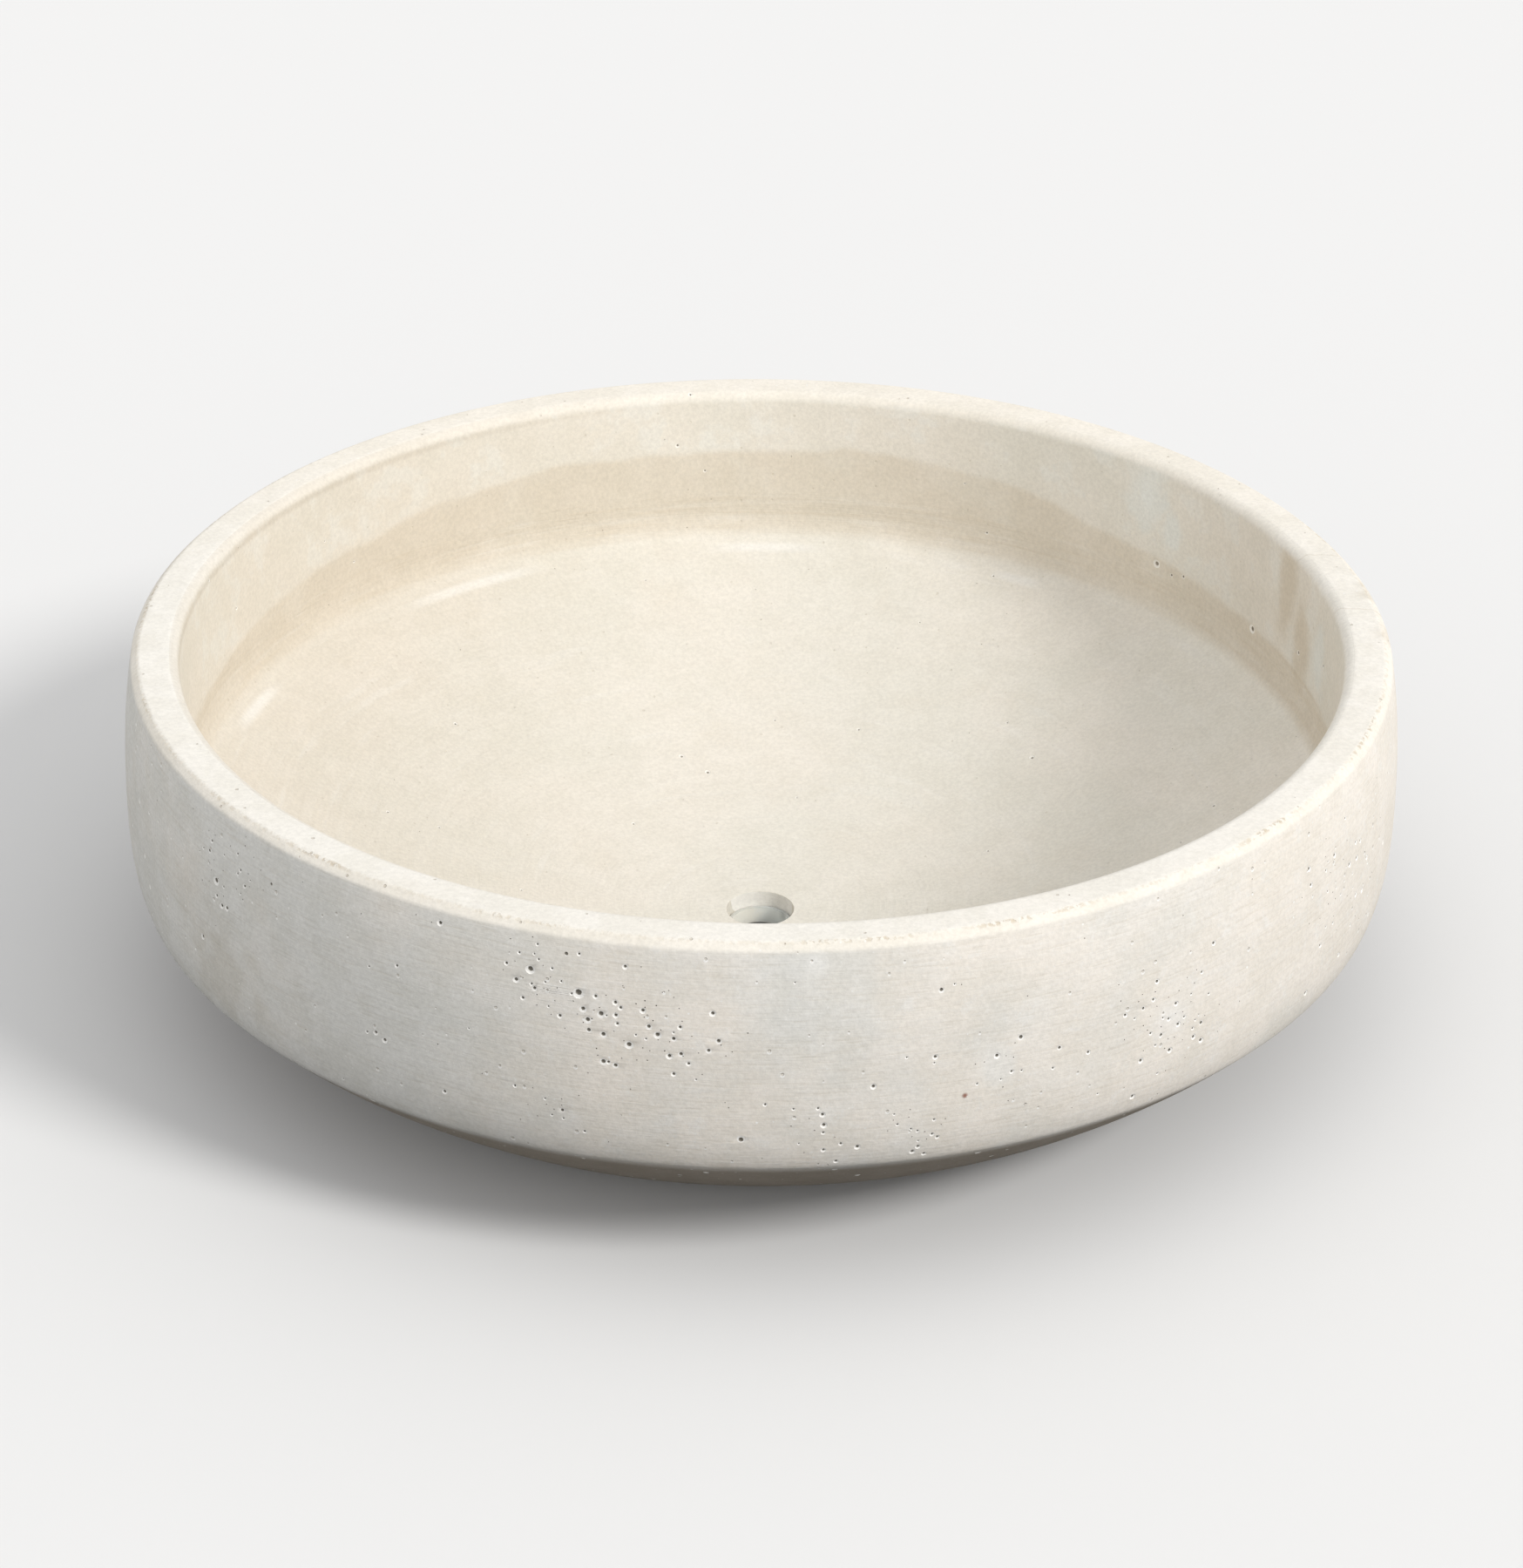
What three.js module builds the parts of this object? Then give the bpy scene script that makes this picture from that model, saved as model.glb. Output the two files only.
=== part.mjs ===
// A low round bowl planter of pale cast concrete. The bowl is one casting, and a short plastic
// sleeve, cast into the middle of its floor, lines the drain hole.
// Millimetres, +Z up. The origin is the centre of the flat base that the bowl stands on.

import * as THREE from 'three';

// Driving dimensions: the outside of the bowl
const height = 145; // from the base to the flat top of the rim
const bellyRadius = 254; // the widest ring, low on the wall
const wallLean = 5; // how far the wall leans in from the belly to the rim's eased edge
const wallBendDrop = 28; // how far below the rim the wall's gentle curve leans in
const tuckIn = 4; // how far the wall draws in again from the belly to its lower edge
const tuckHeight = 29.5; // how far above the lower edge that curve starts
const lowerEdgeHeight = 52.5; // height of the edge where the wall turns under
const lowerEdgeRound = 7; // radius that softens that edge
const turnUnder = 71; // how far the underside draws in from the lower edge to the base
const undersideCrown = 3.8; // how far the underside swells out from a straight cone
const baseRound = 6; // radius that softens the base's edge

// Driving dimensions: the rim
const rimThickness = 19.3; // thickness of the wall at the rim
const easedEdge = 3; // width of the eased outer edge, on the rim's flat
const easedEdgeDrop = 2.8; // height of the eased outer edge, on the wall
const innerEdgeRound = 5.4; // radius of the rim's soft inner edge

// Driving dimensions: the inside of the bowl
const floorThickness = 15; // concrete under the lowest part of the floor, at the drain
const floorRise = 65; // from the lowest part of the floor up to the foot of the inner wall
const floorCurveWidth = 120; // width of the ring where the floor curves up to the wall
const floorFall = 1.5; // fall of the nearly flat middle towards the drain
const innerWallDraft = 0.7; // how far the inner wall leans in by its foot
const coveRound = 15; // radius of the cove between the wall and the floor

// Driving dimensions: the drain and its sleeve
const sleeveRadius = 13.35; // outside of the sleeve, a 26.7 mm pipe
const sleeveWall = 1.5; // thickness of the pipe
const sleeveEdgeRound = 0.4; // radius that eases the pipe's cut ends
const sleeveClearance = 0.3; // between the sleeve and the concrete round it
const sleeveTopRecess = 6.5; // the sleeve ends this far below the floor
const sleeveFootRecess = 1; // and this far above the base
const drainLipRound = 1.5; // worn edge of the concrete round the drain

// How finely the round surfaces are divided: sides round the axis, and straight pieces in a curve
const bowlSides = 96;
const sleeveSides = 48;
const edgeSteps = 3; // in each small rounded edge
const undersideSteps = 5;
const tuckSteps = 5;
const innerEdgeSteps = 5;
const wallSteps = 6;
const coveSteps = 6;
const floorSteps = 10;

// Values that follow from the driving dimensions
const wallTopRadius = bellyRadius - wallLean;
const lowerEdgeRadius = bellyRadius - tuckIn;
const tuckTop = lowerEdgeHeight + tuckHeight;
const tuckBendHeight = lowerEdgeHeight + tuckHeight / 3; // so it bends most near the lower edge
const baseRadius = lowerEdgeRadius - turnUnder;
const innerRimRadius = wallTopRadius - rimThickness;
const innerFootRadius = innerRimRadius - innerWallDraft;
const innerFootHeight = floorThickness + floorRise;
const floorCurveStart = innerFootRadius - floorCurveWidth;
const drainRadius = sleeveRadius + sleeveClearance;

// A corner of an outline, by radius from the axis and height. It is sharp, unless `round` gives
// the radius of an arc that softens it. A corner with `bend` is only the control point of one
// smooth curve between its neighbours. `steps` says how many straight pieces make up the arc or curve.
function corner(radius, z, { round = 0, bend = false, steps = 1 } = {}) {
  return { point: new THREE.Vector2(radius, z), round, bend, steps };
}

// Points of the arc that softens a corner, touching the lines to the corners before and after it.
function arcAtCorner(before, here, after) {
  const towardsBefore = before.point.clone().sub(here.point).normalize();
  const towardsAfter = after.point.clone().sub(here.point).normalize();
  const halfAngle = Math.acos(towardsBefore.dot(towardsAfter)) / 2;
  const sweep = Math.PI - 2 * halfAngle;
  const toCentre = towardsBefore.clone().add(towardsAfter).normalize();
  const centre = here.point.clone().addScaledVector(toCentre, here.round / Math.sin(halfAngle));
  const setback = here.round / Math.tan(halfAngle);
  const fromCentre = here.point.clone().addScaledVector(towardsBefore, setback).sub(centre);
  const turn = towardsBefore.cross(towardsAfter) > 0 ? -sweep : sweep;
  const points = [];
  for (let i = 0; i <= here.steps; i++) {
    const spoke = fromCentre.clone().rotateAround(new THREE.Vector2(), (turn * i) / here.steps);
    points.push(centre.clone().add(spoke));
  }
  return points;
}

// The whole outline: every corner as it is, as an arc, or as a curve between its neighbours.
function outlinePoints(corners) {
  const neighbour = (i, offset) => (i + offset + corners.length) % corners.length;
  const stretches = corners.map((here, i) => {
    if (here.bend) {
      return [];
    }
    if (here.round === 0) {
      return [here.point];
    }
    return arcAtCorner(corners[neighbour(i, -1)], here, corners[neighbour(i, 1)]);
  });
  corners.forEach((here, i) => {
    if (here.bend) {
      const start = stretches[neighbour(i, -1)].at(-1);
      const end = stretches[neighbour(i, 1)][0];
      const curve = new THREE.QuadraticBezierCurve(start, here.point, end);
      stretches[i] = curve.getPoints(here.steps).slice(1, -1);
    }
  });
  return stretches.flat();
}

// A solid of revolution about the Z axis, from a closed outline that runs anticlockwise.
function turned(corners, sides) {
  const points = outlinePoints(corners);
  const geometry = new THREE.LatheGeometry([...points, points[0]], sides);
  geometry.rotateX(Math.PI / 2);
  return geometry;
}

// The concrete bowl: flat base, underside, swelling wall, flat rim, dished floor.
function bowlGeometry() {
  const underside = new THREE.Vector2(turnUnder, lowerEdgeHeight);
  const outwards = new THREE.Vector2(underside.y, -underside.x).normalize();
  const crown = underside.clone().multiplyScalar(0.5).addScaledVector(outwards, 2 * undersideCrown);
  return turned([
    corner(drainRadius, 0),
    corner(baseRadius, 0, { round: baseRound, steps: edgeSteps }),
    corner(baseRadius + crown.x, crown.y, { bend: true, steps: undersideSteps }),
    corner(lowerEdgeRadius, lowerEdgeHeight, { round: lowerEdgeRound, steps: edgeSteps }),
    corner(bellyRadius, tuckBendHeight, { bend: true, steps: tuckSteps }),
    corner(bellyRadius, tuckTop),
    corner(bellyRadius, height - wallBendDrop, { bend: true, steps: wallSteps }),
    corner(wallTopRadius, height - easedEdgeDrop),
    corner(wallTopRadius - easedEdge, height),
    corner(innerRimRadius, height, { round: innerEdgeRound, steps: innerEdgeSteps }),
    corner(innerFootRadius, innerFootHeight, { round: coveRound, steps: coveSteps }),
    corner(floorCurveStart, floorThickness + floorFall, { bend: true, steps: floorSteps }),
    corner(drainRadius, floorThickness, { round: drainLipRound, steps: edgeSteps }),
  ], bowlSides);
}

// The drain sleeve: a short length of plastic pipe, its ends cut square with the sharp edges eased.
function sleeveGeometry() {
  const top = floorThickness - sleeveTopRecess;
  const eased = { round: sleeveEdgeRound, steps: edgeSteps };
  return turned([
    corner(sleeveRadius - sleeveWall, sleeveFootRecess, eased),
    corner(sleeveRadius, sleeveFootRecess, eased),
    corner(sleeveRadius, top, eased),
    corner(sleeveRadius - sleeveWall, top, eased),
  ], sleeveSides);
}

const concrete = new THREE.MeshStandardMaterial({ color: 0xe0d8c8, roughness: 0.86, metalness: 0 });
const plastic = new THREE.MeshStandardMaterial({ color: 0xe4e6e0, roughness: 0.45, metalness: 0 });

const bowl = new THREE.Mesh(bowlGeometry(), concrete);
bowl.name = 'bowl';

const drainSleeve = new THREE.Mesh(sleeveGeometry(), plastic);
drainSleeve.name = 'drain_sleeve';

const planter = new THREE.Group();
planter.add(bowl, drainSleeve);

export default planter;
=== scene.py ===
# A low round bowl planter of pale cast concrete, with a plastic drain sleeve in its floor.
# Metres, +Z up. The origin is the centre of the flat base, and +Y is the way the photograph looks.
import math

import bpy
from mathutils import Matrix, Quaternion, Vector


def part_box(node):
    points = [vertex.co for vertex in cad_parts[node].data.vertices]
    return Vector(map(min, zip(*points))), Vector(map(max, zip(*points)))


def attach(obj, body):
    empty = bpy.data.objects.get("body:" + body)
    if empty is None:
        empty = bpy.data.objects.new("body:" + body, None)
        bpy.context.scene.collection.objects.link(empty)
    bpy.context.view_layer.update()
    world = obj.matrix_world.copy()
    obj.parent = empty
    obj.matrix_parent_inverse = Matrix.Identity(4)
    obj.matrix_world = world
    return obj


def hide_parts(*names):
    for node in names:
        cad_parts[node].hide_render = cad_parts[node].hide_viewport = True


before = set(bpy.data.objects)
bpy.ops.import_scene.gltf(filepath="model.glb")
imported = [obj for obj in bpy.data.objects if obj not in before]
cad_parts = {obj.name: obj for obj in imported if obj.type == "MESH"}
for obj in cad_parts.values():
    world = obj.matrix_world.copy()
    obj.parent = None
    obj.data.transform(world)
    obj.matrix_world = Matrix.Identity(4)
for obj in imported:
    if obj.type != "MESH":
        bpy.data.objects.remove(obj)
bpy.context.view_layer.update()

# ---------------------------------------------------------------------------------------------
# The bowl: one casting of pale concrete, poured in a smooth round mould and floated by hand
# inside. Air trapped against the mould left small round holes in the wall, and the rim was
# rubbed down once the bowl was out, which chipped its outer edge here and there.
# ---------------------------------------------------------------------------------------------

# The outside
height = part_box("bowl")[1].z
belly_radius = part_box("bowl")[1].x
wall_lean = 0.005
wall_bend_drop = 0.028
tuck_in = 0.004
tuck_height = 0.0295
lower_edge_height = 0.0525
lower_edge_round = 0.007
turn_under = 0.071
underside_crown = 0.0038
base_round = 0.006

# The rim
rim_thickness = 0.0193
eased_edge = 0.003
eased_edge_drop = 0.0028
worn_edge_round = 0.003
inner_edge_round = 0.0054

# The inside
floor_thickness = 0.015
floor_rise = 0.065
floor_curve_width = 0.120
floor_fall = 0.0015
inner_wall_draft = 0.0007
cove_round = 0.015
drain_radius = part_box("drain_sleeve")[1].x + 0.0003
drain_lip_round = 0.0005

wall_top_radius = belly_radius - wall_lean
lower_edge_radius = belly_radius - tuck_in
base_radius = lower_edge_radius - turn_under
inner_rim_radius = wall_top_radius - rim_thickness
inner_foot_radius = inner_rim_radius - inner_wall_draft
inner_foot_height = floor_thickness + floor_rise

# How finely the outline is divided
arc_step = math.radians(5)
curve_pieces = 24
longest_piece = 0.0062
sharpest_smooth_edge = math.radians(38)


def corner(radius, z, rounded=0.0, bend=False):
    """A corner of an outline: sharp, rounded by an arc, or only the control point of a curve."""
    return {"point": Vector((radius, z)), "rounded": rounded, "bend": bend}


def arc_at_corner(before, here, after):
    """Points of the arc that softens a corner and touches the lines to its neighbours."""
    back = (before["point"] - here["point"]).normalized()
    onward = (after["point"] - here["point"]).normalized()
    half_angle = math.acos(back.dot(onward)) / 2
    centre = here["point"] + (back + onward).normalized() * here["rounded"] / math.sin(half_angle)
    spoke = here["point"] + back * here["rounded"] / math.tan(half_angle) - centre
    left_hand = back.x * onward.y - back.y * onward.x > 0
    sweep = (math.pi - 2 * half_angle) * (-1 if left_hand else 1)
    pieces = max(2, math.ceil(abs(sweep) / arc_step))
    return [centre + Matrix.Rotation(sweep * i / pieces, 2) @ spoke for i in range(pieces + 1)]


def outline_points(corners):
    """The closed outline, as points of radius and height, with no piece longer than it should be."""
    count = len(corners)
    stretches = []
    for i, here in enumerate(corners):
        if here["bend"]:
            stretches.append([])
        elif here["rounded"]:
            stretches.append(arc_at_corner(corners[i - 1], here, corners[(i + 1) % count]))
        else:
            stretches.append([here["point"]])
    for i, here in enumerate(corners):
        if here["bend"]:
            start, end = stretches[i - 1][-1], stretches[(i + 1) % count][0]
            shares = [k / curve_pieces for k in range(1, curve_pieces)]
            stretches[i] = [
                start * (1 - t) ** 2 + here["point"] * 2 * t * (1 - t) + end * t**2 for t in shares
            ]
    coarse = [point for stretch in stretches for point in stretch]
    fine = []
    for here, following in zip(coarse, coarse[1:] + coarse[:1]):
        pieces = math.ceil((following - here).length / longest_piece)
        fine += [here.lerp(following, k / pieces) for k in range(pieces)]
    return fine


def outline_object(name, points):
    """The outline as a loop of edges, radius along X and height along Y, for a turning to follow."""
    loop = bpy.data.meshes.new(name)
    edges = [(i, (i + 1) % len(points)) for i in range(len(points))]
    loop.from_pydata([(p.x, p.y, 0) for p in points], edges, [])
    return bpy.data.objects.new(name, loop)


class Signal:
    """A number that flows through a node tree. Arithmetic on it adds Math nodes."""

    def __init__(self, graph, socket):
        self.graph = graph
        self.socket = socket

    def also(self, output):
        """Another output of the same node."""
        return Signal(self.graph, self.socket.node.outputs[output])

    def worked(self, operation, *values):
        return self.graph.add("ShaderNodeMath", {"operation": operation}, dict(enumerate(values)))

    def at_least(self, low):
        return self.worked("MAXIMUM", self, low)

    def __add__(self, other):
        return self.worked("ADD", self, other)

    def __sub__(self, other):
        return self.worked("SUBTRACT", self, other)

    def __rsub__(self, other):
        return self.worked("SUBTRACT", other, self)

    def __mul__(self, other):
        return self.worked("MULTIPLY", self, other)

    def __truediv__(self, other):
        return self.worked("DIVIDE", self, other)

    def __pow__(self, other):
        return self.worked("POWER", self, other)

    def __gt__(self, other):
        return self.worked("GREATER_THAN", self, other)

    def __lt__(self, other):
        return self.worked("LESS_THAN", self, other)

    __radd__ = __add__
    __rmul__ = __mul__


class Graph:
    """A node tree that is written as expressions."""

    def __init__(self, tree):
        self.tree = tree
        self.tree.nodes.clear()

    def add(self, kind, settings=None, sockets=None, output=0):
        """Adds a node: first its settings, then the values or links of its sockets."""
        node = self.tree.nodes.new(kind)
        for name, value in (settings or {}).items():
            setattr(node, name, value)
        for key, value in (sockets or {}).items():
            for one in value if isinstance(value, list) else [value]:
                if isinstance(one, Signal):
                    self.tree.links.new(one.socket, node.inputs[key])
                else:
                    node.inputs[key].default_value = one
        return Signal(self, node.outputs[output]) if len(node.outputs) else None

    def vector(self, x, y, z):
        return self.add("ShaderNodeCombineXYZ", sockets={0: x, 1: y, 2: z})

    def moved(self, operation, *vectors, output=0):
        """Vector arithmetic, by the name of its operation."""
        return self.add(
            "ShaderNodeVectorMath", {"operation": operation}, dict(enumerate(vectors)), output
        )

    def scaled(self, vector, factor):
        return self.add("ShaderNodeVectorMath", {"operation": "SCALE"}, {0: vector, "Scale": factor})

    def blended(self, share, under, over, way="MIX"):
        """One colour over another, by that share."""
        settings = {"data_type": "RGBA", "blend_type": way}
        return self.add("ShaderNodeMix", settings, {0: share, 6: under, 7: over}, 2)

    def step(self, value, low, high):
        """0 below low, 1 above high, and a smooth rise between them."""
        return self.add(
            "ShaderNodeMapRange",
            {"interpolation_type": "SMOOTHSTEP", "clamp": True},
            {"Value": value, "From Min": low, "From Max": high},
        )

    def noise(self, place, size, detail=2.0, roughness=0.5, shift=(0.0, 0.0, 0.0)):
        """Soft noise about 0.5, with blotches of about that size. A shift picks another part of it."""
        spot = self.moved("ADD", place, shift)
        sockets = {"Vector": spot, "Scale": 1 / size, "Detail": detail, "Roughness": roughness}
        return self.add("ShaderNodeTexNoise", None, sockets)


class Turning(Graph):
    """A geometry tree whose named inputs are the sizes of one turned piece."""

    def __init__(self, name):
        tree = bpy.data.node_groups.new(name, "GeometryNodeTree")
        super().__init__(tree)
        tree.interface.new_socket("Geometry", in_out="OUTPUT", socket_type="NodeSocketGeometry")
        self.given = {}
        self.finish = None

    def asked(self, name, kind, value):
        """A named input of the tree, and the value that this piece gives it."""
        socket = self.tree.interface.new_socket(name, in_out="INPUT", socket_type=kind)
        self.given[socket.identifier] = value
        if kind == "NodeSocketMaterial":
            self.finish = value
        entry = self.tree.nodes.new("NodeGroupInput")
        return Signal(self, entry.outputs[name])

    def turned(self, outline, sides):
        """The outline carried round the Z axis."""
        swing = 0.1
        loop = self.add("GeometryNodeObjectInfo", None, {"Object": outline}, "Geometry")
        along = self.add("GeometryNodeInputPosition")
        point = self.add("ShaderNodeSeparateXYZ", None, {0: along})
        upright = self.vector(point - swing, point.also("Y") * -1, 0.0)
        curve = self.add("GeometryNodeMeshToCurve", None, {0: loop})
        profile = self.add("GeometryNodeSetPosition", None, {"Geometry": curve, "Position": upright})
        circle = self.add(
            "GeometryNodeCurvePrimitiveCircle", None, {"Resolution": sides, "Radius": swing}
        )
        path = self.add("GeometryNodeSetCurveNormal", {"mode": "Z_UP"}, {0: circle})
        swept = self.add("GeometryNodeCurveToMesh", None, {"Curve": path, "Profile Curve": profile})
        return self.add("GeometryNodeFlipFaces", None, {0: swept})

    def finished(self, solid, finish, sharpest):
        """Smooth faces that stay crisp at their sharp edges, in the piece's material."""
        smooth = self.add("GeometryNodeSetShadeSmooth", {"domain": "FACE"}, {0: solid})
        turn = self.add("GeometryNodeInputMeshEdgeAngle")
        sockets = {0: smooth, "Selection": turn > sharpest, "Shade Smooth": False}
        crisp = self.add("GeometryNodeSetShadeSmooth", {"domain": "EDGE"}, sockets)
        whole = self.add("GeometryNodeRealizeInstances", None, {0: crisp})
        painted = self.add("GeometryNodeSetMaterial", None, {0: whole, "Material": finish})
        self.add("NodeGroupOutput", None, {0: painted})

    def made(self, name):
        """Runs the tree and returns its result as a plain mesh object."""
        blank = bpy.data.objects.new("blank", bpy.data.meshes.new("blank"))
        bpy.context.scene.collection.objects.link(blank)
        modifier = blank.modifiers.new("turning", "NODES")
        modifier.node_group = self.tree
        for identifier, value in self.given.items():
            modifier[identifier] = value
        seen = blank.evaluated_get(bpy.context.evaluated_depsgraph_get())
        mesh = bpy.data.meshes.new_from_object(seen)
        bpy.data.objects.remove(blank)
        mesh.name = name
        mesh.materials.clear()
        mesh.materials.append(self.finish)
        mesh.polygons.foreach_set("material_index", [0] * len(mesh.polygons))
        piece = bpy.data.objects.new(name, mesh)
        bpy.context.scene.collection.objects.link(piece)
        return piece


# The bowl's outline, anticlockwise from the drain along the base, up the outside and back inside
underside = Vector((turn_under, lower_edge_height))
outwards = Vector((underside.y, -underside.x)).normalized()
crown = underside / 2 + outwards * 2 * underside_crown
bowl_outline = outline_points([
    corner(drain_radius, 0),
    corner(base_radius, 0, rounded=base_round),
    corner(base_radius + crown.x, crown.y, bend=True),
    corner(lower_edge_radius, lower_edge_height, rounded=lower_edge_round),
    corner(belly_radius, lower_edge_height + tuck_height / 3, bend=True),
    corner(belly_radius, lower_edge_height + tuck_height),
    corner(belly_radius, height - wall_bend_drop, bend=True),
    corner(wall_top_radius, height - eased_edge_drop, rounded=worn_edge_round),
    corner(wall_top_radius - eased_edge, height, rounded=worn_edge_round),
    corner(inner_rim_radius, height, rounded=inner_edge_round),
    corner(inner_foot_radius, inner_foot_height, rounded=cove_round),
    corner(inner_foot_radius - floor_curve_width, floor_thickness + floor_fall, bend=True),
    corner(drain_radius, floor_thickness, rounded=drain_lip_round),
])


def around(angle, radius, z):
    """A point by degrees round from +X, distance from the axis, and height."""
    return Vector((radius * math.cos(math.radians(angle)), radius * math.sin(math.radians(angle)), z))


def on_wall(angle, z):
    """A point on the outside of the wall, by degrees round from +X and height."""
    wall = [p for p in bowl_outline if p.x > inner_rim_radius + 0.004]
    return around(angle, min(wall, key=lambda p: abs(p.y - z)).x, z)


def on_inner_wall(angle, z):
    """A point on the inner wall, by degrees round from +X and height."""
    wall = [p for p in bowl_outline if inner_foot_radius - 0.002 < p.x < inner_rim_radius + 0.001]
    return around(angle, min(wall, key=lambda p: abs(p.y - z)).x, z)


# The colours of the concrete, as linear red, green and blue
pale_cream = (0.795, 0.752, 0.675, 1)
grey_cream = (0.765, 0.735, 0.660, 1)
wall_cool_and_shaded = (0.750, 0.746, 0.713, 1)
wall_warm_and_lit = (0.865, 0.812, 0.738, 1)
rim_white = (0.830, 0.800, 0.737, 1)
edge_cream = (0.83, 0.775, 0.68, 1)
edge_ochre = (0.55, 0.45, 0.31, 1)
damp_tan = (0.665, 0.59, 0.477, 1)
chalk = (0.87, 0.86, 0.83, 1)
cold_white = (0.79, 0.82, 0.80, 1)
painted_light_white = (0.97, 0.96, 0.93, 1)
earth_stain_and_pin_shade = (0.52, 0.45, 0.34, 1)
underside_painted_shade = (0.38, 0.325, 0.26, 1)
hole_shade = (0.26, 0.24, 0.20, 1)
rust_red = (0.28, 0.10, 0.06, 1)
# Tints that the colour is multiplied by
painted_shade_tint = (0.805, 0.78, 0.75, 1)
grain_dark, grain_light = (0.90, 0.90, 0.90, 1), (1.10, 1.10, 1.10, 1)
blotch_dark, blotch_light = (0.95, 0.945, 0.93, 1), (1.04, 1.04, 1.05, 1)

# The tide line inside: its usual height, and where it swells up: degrees, rise and spread
tide_height = 0.105
tide_swells = (
    (69.0, 0.009, 0.10), (101.0, 0.011, 0.15), (141.0, 0.006, 0.14),
    (-120.0, 0.008, 0.14), (-20.0, 0.010, 0.10),
)
streaked_height = 0.102
# Marks on the inner wall: degrees round from +X, height, reach, and how many times as tall
damp_runs = ((19.0, 0.127, 0.013, 2.4), (14.5, 0.108, 0.013, 2.2))
pale_patches = ((44.0, 0.127, 0.014, 1.6), (40.0, 0.115, 0.009, 1.6), (9.0, 0.110, 0.012, 1.6))
# Where the float pressed hardest along the foot of the wall, glossier and painted pale as a highlight:
# degrees and half length
pressed_radius = inner_foot_radius - 0.010
pressed_and_highlit_stretches = (
    (163.5, 0.026), (125.5, 0.042), (89.5, 0.032), (59.0, 0.016), (-30.0, 0.040), (-110.0, 0.030)
)
# Hairline cracks in the rim: degrees, and how far they lean from straight across
rim_cracks = ((16.2, 0.35), (4.2, 0.25))
# Marks on the outside: degrees, height, reach, and how strongly they show
chalky_marks = (
    (-85.5, 0.137, 0.006, 0.75), (-70.5, 0.091, 0.011, 0.65), (-54.0, 0.090, 0.012, 0.60),
    (-106.5, 0.109, 0.020, 0.22), (-78.0, 0.064, 0.012, 0.35),
)
earth_marks = (
    (-145.5, 0.098, 0.026, 0.10), (-142.0, 0.078, 0.030, 0.18),
    (-1.0, 0.141, 0.016, 0.35), (8.0, 0.141, 0.012, 0.30),
)
rust_place = on_wall(-73.2, 0.0797)
scratched_place = on_wall(-106.8, 0.120)
# About how far apart the pin holes and the crumbs of chalk lie
pin_spacing = 0.0046
crumb_spacing = 0.0023


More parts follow.
